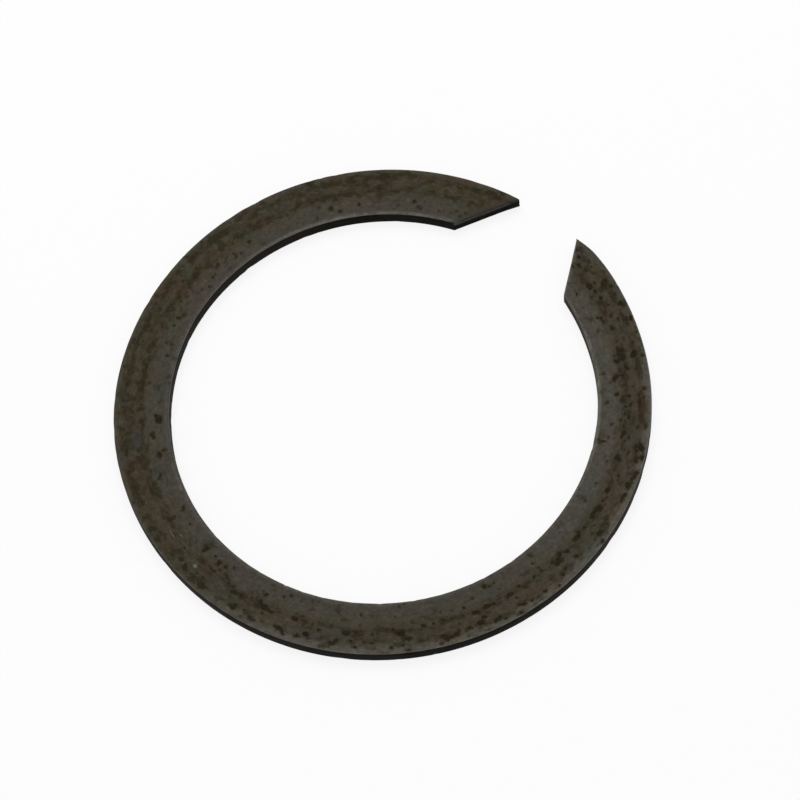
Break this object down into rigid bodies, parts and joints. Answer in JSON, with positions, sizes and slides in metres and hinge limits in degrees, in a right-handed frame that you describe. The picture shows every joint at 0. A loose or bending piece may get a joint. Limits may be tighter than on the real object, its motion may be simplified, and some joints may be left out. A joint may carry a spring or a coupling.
{
  "type": "retaining ring",
  "caption": "Flat open snap ring of blackened spring steel with slanted, pointed ends, which sits in a groove round a shaft and stops parts sliding along it.",
  "frame": {"origin": "on the ring's axis, in the plane of its bottom face", "axes": "+Z along the ring's axis, away from the bottom face; +Y through the middle of the gap"},
  "size_m": [0.06, 0.0597, 0.0018],
  "materials": {
    "blackened_steel": "blackened spring steel, dull, freckled with old rust and worn bare along its edges"
  },
  "bodies": {
    "root": {"retaining_ring": "blackened_steel"}
  },
  "joints": []
}
